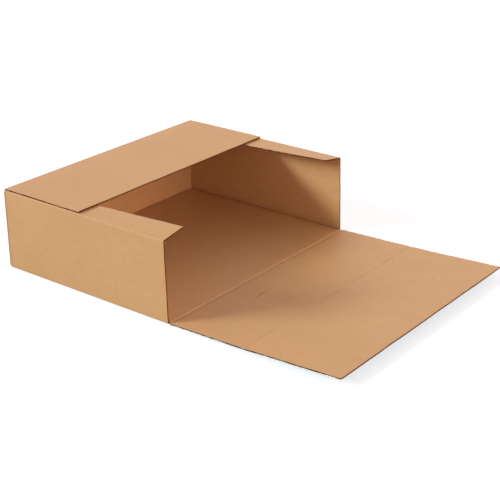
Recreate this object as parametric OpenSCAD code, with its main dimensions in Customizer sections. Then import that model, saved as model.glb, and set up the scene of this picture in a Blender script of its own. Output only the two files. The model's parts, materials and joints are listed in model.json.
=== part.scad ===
// Corrugated mailer box that opens at the front: one blank of fluted board, creased and glued.
// The origin is the centre of the bottom panel's underside, +Y points to the back and +Z up.

/* [Board] */
// Thickness of the board over both liners
board_t = 3; // [2.4:0.1:5]
// Thickness of each flat liner, glue included
liner_t = 0.4; // [0.2:0.05:0.6]
// Thickness of the waved medium between the liners
medium_t = 0.35; // [0.2:0.05:0.5]
// Distance from one flute to the next
flute_pitch = 6.35; // [5:0.05:9]
// Solid board left between a crease or an edge and the nearest flute
flute_margin = 2.4; // [1.5:0.1:6]

/* [Inside] */
// Clear width between the side walls
inside_w = 508; // [300:1:700]
// Clear depth from the closed front wall to the back wall
inside_d = 386; // [250:1:600]
// Clear height under the dust flaps
inside_h = 145; // [80:1:260]

/* [Flaps] */
// Reach of a dust flap from its side wall's outer face
dust_flap_w = 50.8; // [30:0.1:90]
// Gap left between the back flap and the front flap when both are closed
meeting_gap = 16; // [0:0.5:20]
// Width of each glue lap on the back wall
lap_w = 38; // [20:1:80]
// Distance from the top of the side wall down to the root of a glue lap
lap_drop = 3.5; // [2.5:0.5:20]
// Distance from the floor up to the root of a glue lap
lap_lift = 3; // [1:0.5:15]
// Distance by which a glue lap is cut back at each end of its free edge
lap_taper = 6; // [0:0.5:15]

/* [Folds] */
// Outer radius of a right-angled bend
bend_r = 2; // [0.5:0.1:2.4]
// Depth of the score pressed into the inner liner at the front creases
score_d = 0.7; // [0.2:0.1:1]
// Angle of the opened front wall above the floor
front_wall_rise = 1.5; // [0:0.05:6]
// Angle of the opened front flap above the floor
front_flap_rise = 2.8; // [0:0.05:8]
// Height by which a dust flap's inner front corner springs up
corner_spring = 8.5; // [2:0.5:14]

/* [Clearances] */
// Gap between panels that fold against each other
fold_gap = 0.3; // [0.1:0.05:1]
// Gap between the closed front wall and the foot of a side wall's front edge
front_clear = 4.3; // [0.2:0.1:8]
// Distance by which that edge is cut back at its top
side_taper = 4; // [0:0.5:10]
// Gap between the closed front flap and the sprung corners of the dust flaps
closing_clear = 0.5; // [0.2:0.1:3]
// Gap between a dust flap's back end and the back wall
dust_end_gap = 1.5; // [0.5:0.5:6]

/* [Hidden] */
$fn = 48;
kraft = "#cda173";
kraft_shade = "#c2956a";

outer_w = inside_w + 2 * board_t;
outer_d = inside_d + board_t;
wall_top = inside_h + 2 * board_t;
front_y = -outer_d / 2;
back_y = outer_d / 2;

// The two long flaps share the depth, less the gap between them
half_flap_l = (outer_d - meeting_gap) / 2;
front_wall_l = inside_h + board_t + corner_spring + closing_clear;
flap_hold_y = back_y - half_flap_l;

// Where the side walls and the dust flaps start behind the closed front wall, and where
// the dust flaps end
side_front_y = front_y + front_clear;
dust_front_y = side_front_y + side_taper;
dust_back_y = back_y - board_t - dust_end_gap;
dust_crease_x = outer_w / 2 - board_t;
dust_edge_x = outer_w / 2 - dust_flap_w;

// The back flap's crease, on the outer liner
back_crease_z = wall_top + fold_gap + board_t;

// The crease between the front wall and the front flap, on the inner liner
flap_crease_y = front_y - front_wall_l * cos(front_wall_rise);
flap_crease_z = board_t + front_wall_l * sin(front_wall_rise);

// A flute's hollow is drawn a little past the edge that it opens at
cut_over = 1;
spring_steps = 10;
hollow_steps = 4;

// Extrudes a profile drawn in (y, z) along +X
module along_x(length) rotate([90, 0, 90]) linear_extrude(length) children();

// Extrudes a profile drawn in (x, z) along +Y
module along_y(length) translate([0, length, 0]) rotate([90, 0, 0]) linear_extrude(length) children();

// One hollow beside the medium's wave, point up or down: its flat side lies on a liner and
// its curved side follows a cosine between two touching lines
function hollow(centre, up, steps) =
    let (half = flute_pitch / 2 - medium_t, base = up ? board_t - liner_t : liner_t,
         deep = board_t - 2 * liner_t - medium_t, way = up ? -1 : 1)
    [for (i = [0:steps])
        let (u = 2 * i / steps - 1)
        [centre + half * u, base + way * deep * (1 + cos(180 * u)) / 2]];

// All hollows of a board that runs from 0 to length across its flutes
module hollows(length, steps) {
    count = floor((length - 2 * flute_margin) / flute_pitch);
    start = (length - count * flute_pitch) / 2;
    for (i = [0:count - 1]) {
        polygon(hollow(start + (i + 0.5) * flute_pitch, true, steps));
        if (i > 0) polygon(hollow(start + i * flute_pitch, false, steps));
    }
}

// Outline of an opened flap across its flutes, its inner liner up, with half of a score
// pressed into the liner at each creased end
module scored_outline(length, far_score) {
    polygon([
        [0, 0], [length, 0], [length, board_t - far_score],
        [length - far_score, board_t], [score_d, board_t], [0, board_t - score_d]
    ]);
}

// Outline of a closed flap across its flutes, its outer liner up, mitred under a round bend
module mitred_outline(length) {
    intersection() {
        translate([0, board_t]) mirror([0, 1]) bend_section(length, 2 * board_t);
        polygon([[0, board_t], [board_t, 0], [length, 0], [length, board_t]]);
    }
}

// A flap whose flutes run along its crease and open at both ends, laid from a crease on the
// X axis towards the front, with its upper face at the height of the crease
module flat_flap(length) {
    translate([outer_w / 2, 0, -board_t]) rotate([0, 0, 180])
        along_x(outer_w) difference() {
            children();
            hollows(length, hollow_steps);
        }
}

// Wall and floor meeting at a bend of radius bend_r, with the corner at the origin
module bend_section(floor_l, wall_l) {
    translate([bend_r, 0]) square([floor_l - bend_r, board_t]);
    translate([0, bend_r]) square([board_t, wall_l - bend_r]);
    translate([bend_r, bend_r]) circle(bend_r);
}

// Side wall with its bends to the bottom and to the dust flap, on the right-hand side, and
// its front edge cut on a slant
module side_wall() {
    intersection() {
        translate([outer_w / 2, side_front_y, 0]) mirror([1, 0, 0])
            along_y(outer_d - front_clear) {
                bend_section(2 * board_t, inside_h);
                translate([0, wall_top]) mirror([0, 1]) bend_section(board_t, inside_h);
            }
        along_x(outer_w) polygon([
            [side_front_y, 0], [back_y, 0], [back_y, wall_top], [dust_front_y, wall_top]
        ]);
    }
}

// Glue lap that turns round the back corner and lies on the back wall, its top and bottom
// cut on a slant
module glue_lap() {
    lap_top = wall_top - lap_drop;
    lap_root = outer_w / 2 - board_t;
    lap_edge = outer_w / 2 - lap_w;
    intersection() {
        difference() {
            translate([outer_w / 2, back_y + board_t, lap_lift]) rotate([0, 0, 180])
                linear_extrude(lap_top - lap_lift) bend_section(lap_w, 2 * board_t);
            translate([lap_edge, back_y + board_t, lap_lift - cut_over])
                mirror([0, 1, 0]) linear_extrude(lap_top - lap_lift + 2 * cut_over)
                    hollows(lap_w - board_t, hollow_steps);
        }
        translate([0, back_y - board_t, 0]) along_y(2 * board_t) polygon([
            [outer_w / 2, lap_lift], [outer_w / 2, lap_top], [lap_root, lap_top],
            [lap_edge, lap_top - lap_taper], [lap_edge, lap_lift + lap_taper], [lap_root, lap_lift]
        ]);
    }
}

// How far a dust flap's inner edge has sprung up at depth y
function spring(y) = y < flap_hold_y
    ? corner_spring * pow((flap_hold_y - y) / (flap_hold_y - dust_front_y), 1.3) : 0;

// Depths at which the dust flap's surface is drawn
function dust_stations() = concat(
    [for (i = [0:spring_steps]) dust_front_y + (flap_hold_y - dust_front_y) * i / spring_steps],
    [dust_back_y]);

// The twisted sheet of the dust flap: level at its crease, sprung up along its inner edge
module dust_sheet() {
    ys = dust_stations();
    last = len(ys) - 1;
    points = [for (y = ys) each [
        [dust_crease_x, y, wall_top - board_t],
        [dust_crease_x, y, wall_top],
        [dust_edge_x, y, wall_top + spring(y)],
        [dust_edge_x, y, wall_top - board_t + spring(y)]
    ]];
    sides = [for (i = [0:last - 1]) for (k = [0:3])
        let (a = 4 * i + k, b = 4 * i + (k + 1) % 4)
        each [[a, b, b + 4], [a, b + 4, a + 4]]];
    ends = [[0, 3, 2, 1], [4 * last, 4 * last + 1, 4 * last + 2, 4 * last + 3]];
    polyhedron(points, concat(sides, ends), convexity = 4);
}

// One blind hollow of the dust flap, tilted as the sheet is at its depth
module dust_hollow(y, up) {
    reach = dust_crease_x - dust_edge_x;
    tilt = atan(spring(y) / reach);
    translate([dust_crease_x, y, wall_top - board_t]) rotate([0, tilt, 0])
        translate([-reach - flute_pitch, 0, 0])
            along_x(reach + flute_pitch - flute_margin) polygon(hollow(0, up, 2));
}

module dust_flap() {
    count = floor((dust_back_y - dust_front_y - 2 * flute_margin) / flute_pitch);
    start = (dust_back_y + dust_front_y - count * flute_pitch) / 2;
    difference() {
        dust_sheet();
        for (i = [0:count - 1]) {
            dust_hollow(start + (i + 0.5) * flute_pitch, true);
            if (i > 0) dust_hollow(start + i * flute_pitch, false);
        }
    }
}

// Bottom panel, scored along its front crease
module bottom_panel() {
    half = outer_w / 2 - board_t;
    translate([-half, 0, 0]) along_x(2 * half)
        polygon([
            [front_y + fold_gap / 2, 0], [back_y - board_t, 0], [back_y - board_t, board_t],
            [front_y + score_d, board_t], [front_y + fold_gap / 2, board_t - score_d]
        ]);
}

// Back wall with its bend to the bottom, and the mitre that its flap folds from
module back_wall() {
    half = outer_w / 2 - board_t;
    translate([-half, back_y, 0]) mirror([0, 1, 0]) along_x(2 * half) {
        bend_section(2 * board_t, inside_h);
        intersection() {
            translate([0, back_crease_z]) mirror([0, 1]) bend_section(2 * board_t, inside_h);
            polygon([
                [0, 0], [board_t, 0], [board_t, back_crease_z - board_t - fold_gap],
                [0, back_crease_z - fold_gap]
            ]);
        }
    }
}

// Bottom, side walls, dust flaps, back wall and glue laps: the part of the blank that stays folded
module tray() {
    color(kraft) {
        bottom_panel();
        back_wall();
        for (side = [0, 1]) mirror([side, 0, 0]) {
            side_wall();
            dust_flap();
            glue_lap();
        }
    }
}

// Half-length flap folded in from the top of the back wall, over the dust flaps
module back_flap() {
    color(kraft)
        translate([0, back_y, back_crease_z])
            flat_flap(half_flap_l) mitred_outline(half_flap_l);
}

// Front wall, folded down on to the floor
module front_wall() {
    color(kraft_shade)
        translate([0, front_y, board_t]) rotate([-front_wall_rise, 0, 0])
            flat_flap(front_wall_l) scored_outline(front_wall_l, score_d);
}

// Front flap, opened out in line with the front wall
module front_flap() {
    color(kraft)
        translate([0, flap_crease_y, flap_crease_z]) rotate([-front_flap_rise, 0, 0])
            flat_flap(half_flap_l) scored_outline(half_flap_l, 0);
}

tray();
back_flap();
front_wall();
front_flap();
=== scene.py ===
import json
import math

import bpy
import numpy as np
from mathutils import Matrix, Vector


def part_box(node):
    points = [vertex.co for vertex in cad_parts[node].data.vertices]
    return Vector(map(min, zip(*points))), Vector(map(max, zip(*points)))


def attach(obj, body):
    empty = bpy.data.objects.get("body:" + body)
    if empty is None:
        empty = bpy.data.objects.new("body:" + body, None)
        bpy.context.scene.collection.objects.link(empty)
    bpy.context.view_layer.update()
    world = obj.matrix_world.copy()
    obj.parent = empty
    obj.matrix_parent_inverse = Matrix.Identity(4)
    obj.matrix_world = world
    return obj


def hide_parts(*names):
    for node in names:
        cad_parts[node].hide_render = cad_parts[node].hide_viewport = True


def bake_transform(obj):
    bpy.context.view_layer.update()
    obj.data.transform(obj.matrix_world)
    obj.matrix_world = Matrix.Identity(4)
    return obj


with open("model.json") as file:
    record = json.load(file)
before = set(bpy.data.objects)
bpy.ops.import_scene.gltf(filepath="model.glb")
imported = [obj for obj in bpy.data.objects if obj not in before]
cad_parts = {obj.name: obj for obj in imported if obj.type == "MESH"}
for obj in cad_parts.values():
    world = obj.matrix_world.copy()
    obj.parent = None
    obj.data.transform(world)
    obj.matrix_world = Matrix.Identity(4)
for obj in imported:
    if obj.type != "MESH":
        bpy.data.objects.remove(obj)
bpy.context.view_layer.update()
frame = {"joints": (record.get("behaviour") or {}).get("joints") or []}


# The camera stands to the front left of the opened box, a little above it, and looks down
# past the left-hand wall into the tray. The picture is square.
camera_azimuth = math.radians(-52.019)
camera_elevation = math.radians(23.517)
camera_roll = math.radians(-0.276)
camera_place = Vector((-1.6151, -1.4254, 0.9312))
picture_pixels = 500
focal_pixels = 1227.9
sensor_mm = 36.0

camera_back = Vector((
    math.sin(camera_azimuth) * math.cos(camera_elevation),
    -math.cos(camera_azimuth) * math.cos(camera_elevation),
    math.sin(camera_elevation),
))
level_right = Vector((math.cos(camera_azimuth), math.sin(camera_azimuth), 0.0))
level_up = camera_back.cross(level_right)
camera_right = math.cos(camera_roll) * level_right + math.sin(camera_roll) * level_up
camera_up = camera_back.cross(camera_right)

camera_data = bpy.data.cameras.new("camera")
camera_data.sensor_width = sensor_mm
camera_data.lens = focal_pixels * sensor_mm / picture_pixels
camera = bpy.data.objects.new("camera", camera_data)
turn = Matrix((camera_right, camera_up, camera_back)).transposed()
camera.matrix_world = Matrix.Translation(camera_place) @ turn.to_4x4()
bpy.context.scene.collection.objects.link(camera)
bpy.context.scene.camera = camera


# The studio is a pair of soft lamps at the back left, a pale surround that is warm in front
# and at the sides, and a plain pale floor. The camera sees floor and surround as white, and
# the floor keeps the shadow.
class Signal:
    """Wraps an output socket of a node tree, so that arithmetic on it adds Math nodes."""

    def __init__(self, tree, output=None):
        self.tree = tree
        self.output = output

    def node(self, kind, settings=None, sockets=None, output=0):
        """Adds a node: its settings first, then a value or a link for each named socket."""
        made = self.tree.nodes.new(kind)
        for name, value in (settings or {}).items():
            setattr(made, name, value)
        for name, value in (sockets or {}).items():
            if isinstance(value, Signal):
                self.tree.links.new(value.output, made.inputs[name])
            else:
                made.inputs[name].default_value = value
        return Signal(self.tree, made.outputs[output] if made.outputs else None)

    def math(self, operation, *values, clamp=False):
        """One Math node over up to three values or signals."""
        return self.node(
            "ShaderNodeMath", {"operation": operation, "use_clamp": clamp}, dict(enumerate(values))
        )

    def mix(self, low, high):
        """Colour that goes from low to high as this signal goes from 0 to 1."""
        return self.node("ShaderNodeMix", {"data_type": "RGBA"}, {0: self, 6: low, 7: high}, 2)

    def __add__(self, other):
        return self.math("ADD", self, other)

    def __sub__(self, other):
        return self.math("SUBTRACT", self, other)

    def __rsub__(self, other):
        return self.math("SUBTRACT", other, self)

    def __mul__(self, other):
        return self.math("MULTIPLY", self, other)

    def __truediv__(self, other):
        return self.math("DIVIDE", self, other)

    def __pow__(self, other):
        return self.math("POWER", self, other)

    __radd__ = __add__
    __rmul__ = __mul__


back_level = 1.28
front_level = 4.6
right_level = 2.8
left_level = 0.78
wide_power = 2.0
narrow_power = 6.0
white = (1.0, 1.0, 1.0, 1.0)
black = (0.0, 0.0, 0.0, 1.0)
warm_white = (1.0, 0.66, 0.55, 1.0)
lamp_white = (0.95, 1.0, 1.0)
lamp_width = math.radians(12)
# Each lamp's name, degrees turned from straight back to the left, degrees raised, and strength.
lamps = (("high_lamp", 38, 27, 1.10), ("low_lamp", 50, 22, 1.44))

world = bpy.data.worlds.new("surround")
world.use_nodes = True
world.node_tree.nodes.clear()
sky = Signal(world.node_tree)
ray = sky.node("ShaderNodeLightPath")
outputs = ray.output.node.outputs
camera_ray, glossy_ray, clear_ray = (
    Signal(world.node_tree, outputs[name])
    for name in ("Is Camera Ray", "Is Glossy Ray", "Is Transmission Ray")
)
seen = camera_ray.math("MAXIMUM", camera_ray, glossy_ray.math("MAXIMUM", glossy_ray, clear_ray))
direction = sky.node("ShaderNodeTexCoord").output.node.outputs["Generated"]
split = sky.node("ShaderNodeSeparateXYZ", None, {"Vector": Signal(world.node_tree, direction)})
to_right = split
to_back = Signal(world.node_tree, split.output.node.outputs["Y"])


def side(towards, level, power=wide_power):
    """Light from one side of the room: its level times a power of the direction's cosine."""
    return level * towards.math("MAXIMUM", towards, 0.0) ** power


from_back = side(to_back, back_level)
from_room = (
    from_back + side(0.0 - to_back, front_level, narrow_power)
    + side(to_right, right_level) + side(0.0 - to_right, left_level)
)
tint = (from_back / from_room).mix(warm_white, white)
background = sky.node("ShaderNodeBackground", None, {
    "Color": seen.mix(tint, white),
    "Strength": from_room * (1.0 - seen) + seen,
})
sky.node("ShaderNodeOutputWorld", None, {"Surface": background})
bpy.context.scene.world = world

for name, turned, raised, strength in lamps:
    turned, raised = math.radians(turned), math.radians(raised)
    towards = Vector((
        -math.sin(turned) * math.cos(raised), math.cos(turned) * math.cos(raised),
        math.sin(raised),
    ))
    lamp_data = bpy.data.lights.new(name, "SUN")
    lamp_data.energy = strength
    lamp_data.color = lamp_white
    lamp_data.angle = lamp_width
    lamp = bpy.data.objects.new(name, lamp_data)
    lamp.rotation_euler = towards.to_track_quat("Z", "Y").to_euler()
    bpy.context.scene.collection.objects.link(lamp)

floor_half = 12.0
floor_grey = (0.5, 0.5, 0.5, 1.0)
floor_glow = (0.60, 0.68, 0.72, 1.0)
floor_mesh = bpy.data.meshes.new("floor")
floor_mesh.from_pydata(
    [(-floor_half, -floor_half, 0.0), (floor_half, -floor_half, 0.0),
     (floor_half, floor_half, 0.0), (-floor_half, floor_half, 0.0)],
    [], [(0, 1, 2, 3)],
)
floor_paint = bpy.data.materials.new("pale_floor")
floor_paint.use_nodes = True
floor_paint.node_tree.nodes.clear()
paint = Signal(floor_paint.node_tree)
floor_seen = paint.node("ShaderNodeLightPath").mix(black, floor_glow)
paint.node("ShaderNodeOutputMaterial", None, {
    "Surface": paint.node("ShaderNodeBsdfPrincipled", None, {
        "Base Color": floor_grey,
        "Roughness": 0.9,
        "Specular IOR Level": 0.1,
        "Emission Color": floor_seen,
        "Emission Strength": 1.0,
    }),
})
floor_mesh.materials.append(floor_paint)
floor = bpy.data.objects.new("floor", floor_mesh)
bpy.context.scene.collection.objects.link(floor)

bpy.context.scene.view_settings.view_transform = "Standard"


# The tray's bottom, side walls and dust flaps are one belt of the blank. It is kraft board of
# two liners glued to a fluted medium, and its flutes run round the belt: up each side wall and
# across each dust flap. The belt is creased at the four bends and the creases hold it in shape.
tray_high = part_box("tray")[1]
flap_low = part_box("back_flap")[0]
joint_place = {joint["name"]: Vector(joint["pos_m"]) for joint in frame["joints"]}
board_t = joint_place["front_wall_fold"].z
front_y = joint_place["front_wall_fold"].y
back_y = joint_place["back_flap_fold"].y
half_w = tray_high.x
flap_gap = 0.0003
wall_top = flap_low.z - flap_gap
liner_t = 0.00035
medium_t = 0.00035
flute_pitch = 0.00635

bend_out = 0.0022
bend_in = 0.0006
bend_steps = 6
pinch_depth = 0.0009


def folded(corners):
    """Section of board folded to the left at each corner of a line on its outer face.

    The inner face is that line moved in by the thickness of the board. Each corner becomes an
    arc on both faces, about a centre on the bisector. Inside a sharp bend the inner liner is
    pinched into a narrow groove, deepest in the middle of the arc. Returns the distance along
    the middle of the board, the outer points and the inner points of the same stations.
    """
    corners = np.array(corners, float)
    way = np.diff(corners, axis=0)
    way /= np.linalg.norm(way, axis=1)[:, None]
    inward = np.stack([-way[:, 1], way[:, 0]], 1)
    outer = [corners[:1]]
    inner = [corners[:1] + board_t * inward[:1]]
    for corner, before, after, ahead in zip(corners[1:-1], inward[:-1], inward[1:], way[:-1]):
        bisector = (before + after) / (1 + before @ after)
        turned = np.linspace(0, np.arccos(np.clip(before @ after, -1, 1)), bend_steps + 1)
        normal = np.cos(turned)[:, None] * before - np.sin(turned)[:, None] * ahead
        outer.append(corner + bend_out * (bisector - normal))
        pinch = pinch_depth * (1 - before @ after) * np.sin(np.linspace(0, np.pi, len(turned)))
        inner.append(
            corner + (board_t + bend_in - pinch[:, None]) * bisector - bend_in * normal)
    outer.append(corners[-1:])
    inner.append(corners[-1:] + board_t * inward[-1:])
    outer, inner = np.concatenate(outer), np.concatenate(inner)
    steps = np.linalg.norm(np.diff((outer + inner) / 2, axis=0), axis=1)
    return np.concatenate([[0.0], np.cumsum(steps)]), outer, inner


def on_section(section, distance, depth):
    """Point of a folded section: straight across the board from the outer to the inner face."""
    stations, outer, inner = section
    share = depth / board_t
    first, second = (
        np.interp(distance, stations, outer[:, axis]) * (1 - share)
        + np.interp(distance, stations, inner[:, axis]) * share
        for axis in (0, 1)
    )
    return first, second


def fluted(along):
    """Depth of the medium's middle: a sine between the liners, one wave to each flute."""
    swing = (board_t - 2 * liner_t - medium_t) / 2
    return board_t / 2 + swing * np.sin(2 * np.pi * along / flute_pitch)


flute_luck = np.random.default_rng(5).random(256)
liner_step = flute_pitch / 6
wave_step = flute_pitch / 10
crush_reach = 0.0022
end_crush = 0.45
sag_crush = 0.18
edge_crush = 0.15
most_crush = 0.9
cut_steps = crush_reach * np.array([0.0, 0.35, 0.7, 1.05, 1.4, 1.9, 2.5])


def uneven(along):
    """A number from 0 to 1 for each flute, drawn by chance, with straight lines between them."""
    count = len(flute_luck)
    return np.interp(along / flute_pitch % count, np.arange(count), flute_luck)


def crushed(depth, from_end, from_edge, along):
    """Depth after the cutting knife has pressed the board together.

    Where the flutes open, each is crushed by its own amount, and each liner sags where the
    medium is away from it. Along an edge beside the flutes the amount is even. Both fade as a
    bell curve of the distance from the cut.
    """
    sag = 1 + np.sin(2 * np.pi * along / flute_pitch) * np.sign(board_t / 2 - depth)
    own = end_crush * np.clip(1.6 * uneven(along) - 0.4, 0, 1) * sag.clip(0.4, 1.4)
    end = (sag_crush * sag + own).clip(0, most_crush) * np.exp(-(from_end / crush_reach) ** 2)
    edge = edge_crush * np.exp(-(from_edge / crush_reach) ** 2)
    return board_t / 2 + (depth - board_t / 2) * (1 - np.maximum(end, edge))


def with_cuts(stations):
    """Stations of a grid, with closer ones near both ends for the crushed cuts."""
    return np.unique(np.concatenate([stations, stations[0] + cut_steps, stations[-1] - cut_steps]))


# Each slow wave of the board: radians to the metre across and along the blank, and its start.
cockle_waves = ((52, 23, 1.0), (-31, 67, 2.2), (83, 39, 0.4))
cockle_high = 0.00013


def cockle(across, along):
    """Height of the board's slow waves, up to 0.4 mm: three sines that cross."""
    return cockle_high * sum(
        np.sin(right * across + back * along + start) for right, back, start in cockle_waves)


sharp_fold = math.radians(35)


def ply(name, across, along, outside, inside, place, papers, painted_light=0.0):
    """One ply of the board as a closed sheet between two grids.

    across and along are the places on the flat blank, in metres, and they are also the UV
    map. outside and inside are depths below the board's outer face. place folds a point of
    the flat blank, with its depth, to where it is on the box. papers are for the outward
    side, the inward side and the cut edge. The last argument is painted light and shade:
    above 0 it paints the paper lighter, a painted highlight, and below 0 darker, painted
    shade.
    """
    rows, columns = across.shape
    count = rows * columns
    points = np.concatenate([
        place(across, along, outside + 0 * across).reshape(-1, 3),
        place(across, along, inside + 0 * across).reshape(-1, 3),
    ])
    index = np.arange(count).reshape(rows, columns)
    quads = np.stack([index[:-1, :-1], index[1:, :-1], index[1:, 1:], index[:-1, 1:]], -1)
    quads = quads.reshape(-1, 4)
    border = np.concatenate([index[:, 0], index[-1, 1:], index[-2::-1, -1], index[0, -2:0:-1]])
    ahead = np.roll(border, -1)
    rim = np.stack([border, ahead, ahead + count, border + count], -1)
    faces = np.concatenate([quads[:, ::-1], quads + count, rim])

    mesh = bpy.data.meshes.new(name)
    mesh.from_pydata(points.tolist(), [], faces.tolist())
    flat = np.stack([across.ravel(), along.ravel()], 1)
    flat = np.concatenate([flat, flat])[faces.ravel()]
    mesh.uv_layers.new(name="blank").uv.foreach_set("vector", flat.ravel().astype(np.float32))
    mesh.polygons.foreach_set("use_smooth", np.ones(len(faces), bool))
    mesh.set_sharp_from_angle(angle=sharp_fold)
    for paper in papers:
        mesh.materials.append(paper)
    paper_of_face = np.repeat([0, 1, 2], [len(quads), len(quads), len(rim)]).astype(np.int32)
    mesh.polygons.foreach_set("material_index", paper_of_face)
    rubbed = np.tile((painted_light + 0 * across).ravel(), 2).astype(np.float32)
    mesh.attributes.new("painted_light", "FLOAT", "POINT").data.foreach_set("value", rubbed)
    made = bpy.data.objects.new(name, mesh)
    bpy.context.scene.collection.objects.link(made)
    return made


bark_brown = (0.16, 0.075, 0.03, 1.0)
# Scuffs are rubbed towards this tan, and painted highlights lighten the paper towards it too.
rubbed_and_highlight_tan = (0.86, 0.64, 0.42, 1.0)
# Painted shade darkens the paper towards this brown.
shade_brown = (0.20, 0.10, 0.045, 1.0)
bark_cells = 330.0
bark_cover = 0.5
scuff_cover = 0.16
paper_relief = 0.00006


def kraft(name, light, dark, flute_shade, gloss):
    """Unbleached kraft paper of the flat blank, in metres of the UV map.

    Long fibres lie along the blank, as the paper machine leaves them, over a cloudy
    formation. Bark specks are small dark dots. Where the liner is glued to the crests of
    the flutes it shows a faint washboard, one line to each flute: a relief in the bump, and
    faint painted shade in the colour. A few thin curved scuffs are level lines of a slow
    noise, kept only where a second noise is high.
    """
    paper = bpy.data.materials.new(name)
    paper.use_nodes = True
    paper.node_tree.nodes.clear()
    start = Signal(paper.node_tree)
    blank = start.node("ShaderNodeUVMap", {"uv_map": "blank"})

    def cloud(across, along, detail, roughness):
        """Noise with that many features to the metre across and along the blank."""
        stretched = start.node("ShaderNodeVectorMath", {"operation": "MULTIPLY"}, {
            0: blank, 1: (across, along, 1.0),
        })
        return start.node("ShaderNodeTexNoise", {"noise_dimensions": "2D"}, {
            "Vector": stretched, "Scale": 1.0, "Detail": detail, "Roughness": roughness,
        })

    place = start.node("ShaderNodeSeparateXYZ", None, {"Vector": blank}, 1)
    washboard = start.math("SINE", place * (2 * math.pi / flute_pitch))
    fibre = cloud(1500.0, 160.0, 3.0, 0.6)
    formation = cloud(70.0, 45.0, 4.0, 0.55)
    patch = cloud(9.0, 6.0, 2.0, 0.5)
    painted_light = start.node("ShaderNodeAttribute", {"attribute_name": "painted_light"}, None, 2)

    def ramp(value, first, last):
        """0 where the value is up to first and 1 from last on, with a straight ramp between."""
        return start.node("ShaderNodeMapRange", None, {
            "Value": value, "From Min": first, "From Max": last, "To Min": 0.0, "To Max": 1.0,
        })

    level_line = start.math("ABSOLUTE", cloud(13.0, 10.0, 1.5, 0.5) - 0.5)
    scuff = ramp(level_line, 0.0045, 0.0) * ramp(cloud(17.0, 25.0, 1.0, 0.5), 0.60, 0.68)
    tone = (
        0.5 + 0.9 * (fibre - 0.5) + 0.7 * (formation - 0.5) + 0.5 * (patch - 0.5)
        # The washboard's faint lines in the colour are painted shade.
        + flute_shade * washboard
    )
    sheet = start.math("ADD", tone, 0.0, clamp=True).mix(dark, light)
    cell = start.node("ShaderNodeTexVoronoi", {"voronoi_dimensions": "2D"}, {
        "Vector": blank, "Scale": bark_cells,
    })
    cell_outputs = cell.output.node.outputs
    chance = start.node("ShaderNodeSeparateColor", None, {
        "Color": Signal(start.tree, cell_outputs["Color"]),
    })
    bark = bark_cover * ramp(cell, 0.16, 0.08) * ramp(chance, 0.80, 0.95)
    # Each ply's per-point attribute paints highlights lighter and shade darker; the scuffs are
    # real wear.
    highlight_and_scuff = painted_light.math("MAXIMUM", painted_light, scuff * scuff_cover, clamp=True)
    painted_shade = start.math("MAXIMUM", 0.0 - painted_light, 0.0, clamp=True)
    specked = bark.mix(sheet, bark_brown)
    colour = painted_shade.mix(highlight_and_scuff.mix(specked, rubbed_and_highlight_tan), shade_brown)
    relief = fibre * 0.5 + formation * 0.35 + washboard * 0.3 + scuff * 2.5
    bump = start.node("ShaderNodeBump", None, {
        "Height": relief, "Distance": paper_relief, "Strength": 1.0,
    })
    start.node("ShaderNodeOutputMaterial", None, {
        "Surface": start.node("ShaderNodeBsdfPrincipled", None, {
            "Base Color": colour,
            "Roughness": 0.46 + 0.12 * formation,
            "Normal": bump,
            "Specular IOR Level": gloss,
        }),
    })
    return paper


liner_light, liner_dark = (0.600, 0.379, 0.179, 1.0), (0.512, 0.312, 0.139, 1.0)
# The medium is much darker than the liner: partly its own colour and partly painted shade of the
# flute hollows. The liners' faces inside the board take it as well, as painted shade.
medium_light, medium_dark = (0.200, 0.090, 0.028, 1.0), (0.140, 0.060, 0.018, 1.0)
# The cut edges are darker than the liner: partly the cut fibres' own colour and partly painted
# shade on the narrow cut faces.
cut_light, cut_dark = (0.350, 0.185, 0.070, 1.0), (0.230, 0.115, 0.042, 1.0)
liner_paper = kraft("kraft_liner", liner_light, liner_dark, 0.05, 0.38)
medium_and_hollow_shade = kraft("kraft_medium_and_hollow_shade", medium_light, medium_dark, 0.0, 0.0)
cut_paper = kraft("kraft_cut_edge", cut_light, cut_dark, 0.0, 0.0)
outer_papers = (liner_paper, medium_and_hollow_shade, cut_paper)
medium_papers = (medium_and_hollow_shade, medium_and_hollow_shade, medium_and_hollow_shade)
inner_papers = (medium_and_hollow_shade, liner_paper, cut_paper)

dust_flap_l = 0.0508
side_setback = 0.0043
side_taper = 0.0040
corner_gap = 0.0006
dust_gap = 0.0015
back_zone = 0.0035
front_zone = 0.0050
crease_gap = 0.0005
dust_edge_x = half_w - dust_flap_l
side_front_y = front_y + side_setback
side_back_y = back_y - corner_gap
dust_back_y = back_y - board_t - dust_gap
floor_back_y = back_y - back_zone
floor_front_y = front_y + front_zone
flap_hold_y = flap_low.y
corner_spring = tray_high.z - wall_top
spring_power = 1.3

belt_section = folded([
    (-dust_edge_x, wall_top), (-half_w, wall_top), (-half_w, 0.0),
    (half_w, 0.0), (half_w, wall_top), (dust_edge_x, wall_top),
])
belt_half = belt_section[0][-1] / 2
belt_bends = belt_section[0] - belt_half
wall_foot, wall_head, dust_crease = belt_bends[[-3 - bend_steps, -2 - bend_steps, -2]]
wall_base = (wall_foot + wall_head - wall_top) / 2
dust_length = belt_half - dust_crease
floor_bend = belt_bends[-3 - bend_steps - bend_steps // 2]
pucker = 0.0003
pucker_half = 0.0010
# Painted highlight on the pucker tops, and painted shade along the whole crease.
dot_highlight = 0.42
crease_shade = 0.08
crease_half = 0.0012
# Width and depth of the painted shade along each rear upright corner.
corner_half = 0.0013
corner_shade = 0.6


def belt_front(outward):
    """Front edge at a distance from the middle of the belt: the side walls are cut on a slant."""
    height = np.clip((outward - wall_base) / wall_top, 0, 1)
    return np.where(outward < wall_base, floor_front_y, side_front_y + side_taper * height)


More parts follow.
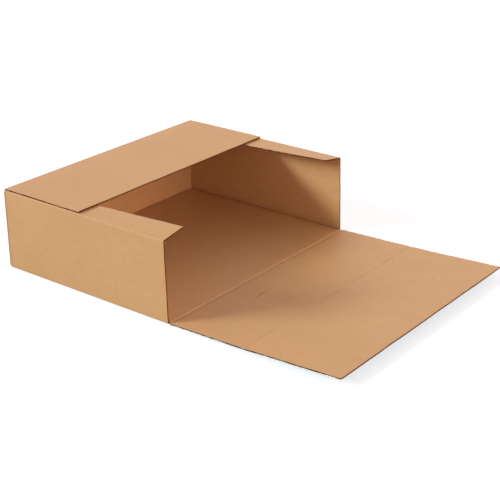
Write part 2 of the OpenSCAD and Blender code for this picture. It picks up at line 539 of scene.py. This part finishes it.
def belt_place(across, along, depth):
    """Belt: the section runs round the tray and carries straight back along Y.

    The side walls bow out by the cockle, times the squared sine of their height. Each dust
    flap springs up from where the back flap holds it down, as the 1.3 power of the distance
    forward, and in proportion to the distance from its crease.
    """
    outward = np.abs(across)
    from_edge = np.where(outward < wall_base, 1.0, along - belt_front(outward))
    height = np.clip((outward - wall_base) / wall_top, 0, 1)
    depth = crushed(depth, belt_half - outward, from_edge, along)
    depth = depth - cockle(across, along) * np.sin(np.pi * height) ** 2
    x, z = on_section(belt_section, across + belt_half, depth)
    dust_front_y = side_front_y + side_taper
    forward = np.clip((flap_hold_y - along) / (flap_hold_y - dust_front_y), 0, 1)
    outward = np.clip((np.abs(across) - dust_crease) / dust_length, 0, 1)
    return np.stack([x, along, z + corner_spring * forward ** spring_power * outward], -1)


def belt_grid(spacing, along_steps):
    """Grid of the belt: the side walls reach further back than the bottom and the dust flaps."""
    across = np.union1d(
        with_cuts(np.linspace(-belt_half, belt_half, int(2 * belt_half / spacing))), belt_bends)
    outward = np.abs(across)
    back = np.where(outward < wall_base, floor_back_y, side_back_y)
    back = np.where(outward > dust_crease + crease_gap, dust_back_y, back)
    length = side_back_y - side_front_y
    share = with_cuts(np.linspace(0, length, along_steps + 1))[None, :] / length
    along = belt_front(outward)[:, None] * (1 - share) + back[:, None] * share
    return np.broadcast_to(across[:, None], along.shape).copy(), along


# Along each top crease the outer liner puckers once a flute, some puckers more than others and
# all of them less under the back flap. Their tops are painted light, a painted highlight, and the
# whole crease a little darker, painted shade.
flutes = (side_back_y - side_front_y) / flute_pitch
across, along = belt_grid(0.014, int(6 * flutes))
crest = np.cos(2 * np.pi * along / flute_pitch) * (0.15 + 1.1 * uneven(along))
near_crease = np.exp(-((np.abs(across) - (wall_head + dust_crease) / 2) / pucker_half) ** 2)
near_crease = near_crease * np.where(along > flap_hold_y, 0.5, 1.0)
# Painted shade along the upright back corner of each side wall.
near_corner = np.exp(-((side_back_y - along) / corner_half) ** 2)
ridge = -pucker * near_crease * crest
outer = ply(
    "belt_outer_liner", across, along, ridge, liner_t + ridge, belt_place, outer_papers,
    near_crease * (dot_highlight * crest - crease_shade) - corner_shade * near_corner)
across, along = belt_grid(0.040, int(9 * flutes))
middle = fluted(along)
medium = ply(
    "belt_medium", across, along, middle - medium_t / 2, middle + medium_t / 2,
    belt_place, medium_papers)
across, along = belt_grid(0.012, 120)
# The inner liner is painted dark along the bends between the bottom and the side walls: painted
# shade in the inside corners.
pinched = np.exp(-((np.abs(across) - floor_bend) / crease_half) ** 2)
inner = ply(
    "belt_inner_liner", across, along, board_t - liner_t, board_t, belt_place, inner_papers,
    -pinched)
for sheet in (outer, medium, inner):
    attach(sheet, "tray")
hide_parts("tray")


# The back wall is folded up from the bottom, between the side walls. It goes on over its top
# crease into the back flap, a half-length flap that is folded in over the dust flaps. Its
# flutes run from side to side and are open where the flap is cut off at each end.
back_crease_z = joint_place["back_flap_fold"].z
flap_front_y = flap_low.y
wall_half = half_w - board_t - bend_in
wall_split_z = 0.146
flap_lift = 0.0004
free_reach = 0.03
notch_step = 0.0001

back_section = folded([
    (floor_back_y, 0.0), (back_y, 0.0), (back_y, back_crease_z), (flap_front_y, back_crease_z),
])
wall_split = floor_back_y + np.interp(
    wall_split_z, back_section[1][: 2 * bend_steps, 1], back_section[0][: 2 * bend_steps])
flap_notch = wall_split + wall_top + flap_gap - wall_split_z
flap_end = floor_back_y + back_section[0][-1]
flap_start = floor_back_y + back_section[0][-2]
back_bend = floor_back_y + back_section[0][1 + bend_steps // 2]


def back_place(across, along, depth):
    """Back wall and back flap: the section stands at every width, and the flap cockles up."""
    depth = crushed(depth, half_w - np.abs(across), flap_end - along, along)
    free = np.clip((along - flap_start) / free_reach, 0, 1)
    depth = depth - (flap_lift + cockle(across, along)) * free
    y, z = on_section(back_section, along - floor_back_y, depth)
    return np.stack([across, y, z], -1)


def back_grid(first, last, across_steps, spacing):
    """Grid of one panel of the back: as wide as the tray's inside up to the notch beside the
    top crease, and as wide as the whole box after it."""
    bends = floor_back_y + back_section[0]
    along = np.union1d(
        with_cuts(np.linspace(first, last, int((last - first) / spacing) + 2)),
        bends[(bends > first) & (bends < last)])
    if first < flap_notch < last:
        along = np.union1d(along, [flap_notch, flap_notch + notch_step])
    half = np.where(along > flap_notch, half_w, wall_half)
    share = with_cuts(np.linspace(-half_w, half_w, across_steps + 1))[:, None] / half_w
    across = share * half[None, :]
    return across, np.broadcast_to(along[None, :], across.shape).copy()


def unpainted(across, along):
    """A liner with no painted highlight or shade."""
    return 0 * across


def three_plies(name, grid, wave_grid, place, painted_outside=unpainted, painted_inside=unpainted):
    """Outer liner, medium and inner liner of one panel."""
    across, along = grid
    wave_across, wave_along = wave_grid
    middle = fluted(wave_along)
    return [
        ply(name + "_outer_liner", across, along, 0.0, liner_t, place, outer_papers,
            painted_outside(across, along)),
        ply(name + "_medium", wave_across, wave_along, middle - medium_t / 2,
            middle + medium_t / 2, place, medium_papers),
        ply(name + "_inner_liner", across, along, board_t - liner_t, board_t, place,
            inner_papers, painted_inside(across, along)),
    ]


def back_bend_shade(across, along):
    """The inner liner is painted dark in the bend between the bottom and the back wall: painted
    shade.
    """
    return -np.exp(-((along - back_bend) / crease_half) ** 2)


for sheet in three_plies(
    "back_wall", back_grid(floor_back_y, wall_split, 40, 0.008),
    back_grid(floor_back_y, wall_split, 6, wave_step), back_place,
    painted_inside=back_bend_shade,
):
    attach(sheet, "tray")

back_flap = three_plies(
    "back_flap", back_grid(wall_split, flap_end, 40, liner_step),
    back_grid(wall_split, flap_end, 10, wave_step), back_place)
for sheet in back_flap:
    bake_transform(sheet)
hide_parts("back_flap")


# Each side wall turns round the back corner into a narrow lap, glued flat on the outside of
# the back wall. The lap's flutes stand upright, as the side wall's do.
lap_w = 0.038
lap_low = 0.003
lap_trim = 0.0035
lap_high = wall_top - lap_trim
lap_taper = 0.006
lap_rows = 24
lap_section = folded([
    (half_w, side_back_y), (half_w, back_y + board_t), (half_w - lap_w, back_y + board_t),
])
lap_root = side_back_y + lap_section[0][1 + bend_steps]
lap_end = side_back_y + lap_section[0][-1]


def lap_place(across, along, depth):
    """Glue lap: its section lies flat, and its height is the distance up the side wall."""
    depth = crushed(depth, 1.0, lap_end - along, along)
    x, y = on_section(lap_section, along - side_back_y, depth)
    return np.stack([np.sign(across) * x, y, np.abs(across) - wall_base], -1)


def painted_corner_shade(across, along):
    """The outer liner is painted dark along the upright crease of the corner: painted shade."""
    return -corner_shade * np.exp(-((along - side_back_y) / corner_half) ** 2)


def lap_grid(turn, spacing):
    """Grid of a lap on the right (turn 1) or left (-1), both ends cut on a slant."""
    along = np.union1d(
        with_cuts(np.arange(side_back_y, lap_end + spacing / 2, spacing).clip(max=lap_end)),
        side_back_y + lap_section[0])
    cut = lap_taper * np.clip((along - lap_root) / (lap_end - lap_root), 0, 1)
    share = np.linspace(0, 1, lap_rows)[:, None]
    height = (lap_low + cut) * (1 - share) + (lap_high - cut) * share
    across = turn * (wall_base + height)
    along = np.broadcast_to(along[None, :], across.shape).copy()
    return (across, along) if turn > 0 else (across[::-1], along)


for turn, name in ((-1, "left_glue_lap"), (1, "right_glue_lap")):
    for sheet in three_plies(
        name, lap_grid(turn, 0.003), lap_grid(turn, wave_step), lap_place,
        painted_outside=painted_corner_shade,
    ):
        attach(sheet, "tray")


# The front wall is joined to the bottom along the front crease and lies opened out on the
# floor. The front flap follows it past a second crease. Both creases are pressed into the
# inner liner, and the flap rises a little towards its free edge.
flap_crease = joint_place["front_flap_fold"]
front_flap_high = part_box("front_flap")[1]
front_wall_l = math.hypot(flap_crease.y - front_y, flap_crease.z - board_t)
wall_rise = math.atan2(flap_crease.z - board_t, front_y - flap_crease.y)
front_flap_l = back_y - flap_front_y
flap_rise = math.asin((front_flap_high.z - flap_crease.z) / front_flap_l)
crease_zone = 0.0050
front_notch = front_y + crease_gap
score_half = 0.0022
# Each score: where it lies along the blank, and how deep it is pressed.
scores = ((front_y, 0.0009), (front_y - front_wall_l, 0.00035))
# Each ripple: places right of the middle and in front of the crease, turn, length and height.
ripples = (
    (-0.078, 0.055, 0.2, 0.017, 0.00040), (-0.060, 0.088, -0.3, 0.016, 0.00040),
    (-0.012, 0.085, 0.1, 0.018, 0.00045), (-0.120, 0.098, -0.1, 0.015, 0.00030),
)
ripple_half_w = 0.026
ripple_half_l = 0.014


def along_front(start, rise, distance):
    """Point at a distance from a crease, on a panel that rises towards the front."""
    return start + distance * np.array([-math.cos(rise), math.sin(rise)])


def outer_corner(point, rise_before, rise_after):
    """Outer face below a crease of the inner face, on the line that halves the bend."""
    middle = (rise_before + rise_after) / 2
    return point - board_t * np.array([math.sin(middle), math.cos(middle)])


front_crease_at = np.array([front_y, board_t])
flap_crease_at = np.array([flap_crease.y, flap_crease.z])
flap_end_at = along_front(flap_crease_at, flap_rise, front_flap_l)
front_section = folded([
    outer_corner(flap_end_at, flap_rise, flap_rise),
    outer_corner(flap_crease_at, wall_rise, flap_rise),
    outer_corner(front_crease_at, 0.0, wall_rise),
    (floor_front_y, 0.0),
])
front_start = floor_front_y - front_section[0][-1]


def rippled(across, along):
    """Height of a few short ripples left on the front wall: waves under a bell-shaped window."""
    height = 0 * across
    for at_x, at_y, turned, length, high in ripples:
        right, ahead = across - at_x, front_y - at_y - along
        phase = (right * math.sin(turned) + ahead * math.cos(turned)) / length
        window = np.exp(-(right / ripple_half_w) ** 2 - (ahead / ripple_half_l) ** 2)
        height = height + high * np.sin(2 * np.pi * phase) * window
    return height


def front_place(across, along, depth):
    """Opened front: the section stands at every width, and the panels cockle.

    Both scores thin the board by a bell curve of the distance, a little unevenly. The
    ripples move only the inner half of the board.
    """
    depth = crushed(depth, half_w - np.abs(across), along - front_start, along)
    thinner = 1 - (0.6 + 0.8 * uneven(across)) / board_t * sum(
        deep * np.exp(-((along - score) / score_half) ** 2) for score, deep in scores)
    free = np.clip((front_y - along) / free_reach, 0, 1)
    depth = depth * thinner + cockle(across, along) * free
    depth = depth + np.where(depth > board_t / 2, rippled(across, along), 0)
    y, z = on_section(front_section, along - front_start, depth)
    return np.stack([across, y, z], -1)


def front_grid(first, last, across_steps, spacing):
    """Grid of one panel of the front: cut back beside the side walls behind the crease."""
    fine = np.concatenate([score + score_half * np.linspace(-2.4, 2.4, 25) for score, _ in scores])
    along = np.union1d(
        with_cuts(np.linspace(first, last, int((last - first) / spacing) + 2)),
        fine[(fine > first) & (fine < last)])
    if first < front_notch < last:
        along = np.union1d(along, [front_notch, front_notch + notch_step])
    half = np.where(along > front_notch, half_w - board_t, half_w)
    share = with_cuts(np.linspace(-half_w, half_w, across_steps + 1))[:, None] / half_w
    across = share * half[None, :]
    return across, np.broadcast_to(along[None, :], across.shape).copy()


def crease_light_and_shade(across, along):
    """The front crease is painted light on the slope that faces the front, a painted highlight,
    and dark on the other, painted shade. The second crease is painted dark here and there,
    as painted shade."""
    reach = (along - front_y) / score_half, (along - front_y + front_wall_l) / score_half
    light = (0.05 + 0.20 * uneven(across)) * reach[0] * np.exp(-reach[0] ** 2)
    return light - 0.3 * uneven(across) ** 2 * np.exp(-reach[1] ** 2)


panel_split = scores[1][0] + crease_zone
front_wall = three_plies(
    "front_wall", front_grid(panel_split, floor_front_y, 110, liner_step),
    front_grid(panel_split, floor_front_y, 10, wave_step), front_place,
    painted_inside=crease_light_and_shade)
for sheet in front_wall:
    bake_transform(sheet)
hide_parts("front_wall")

front_flap = three_plies(
    "front_flap", front_grid(front_start, panel_split, 60, liner_step),
    front_grid(front_start, panel_split, 10, wave_step), front_place,
    painted_inside=crease_light_and_shade)
for sheet in front_flap:
    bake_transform(sheet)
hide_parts("front_flap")
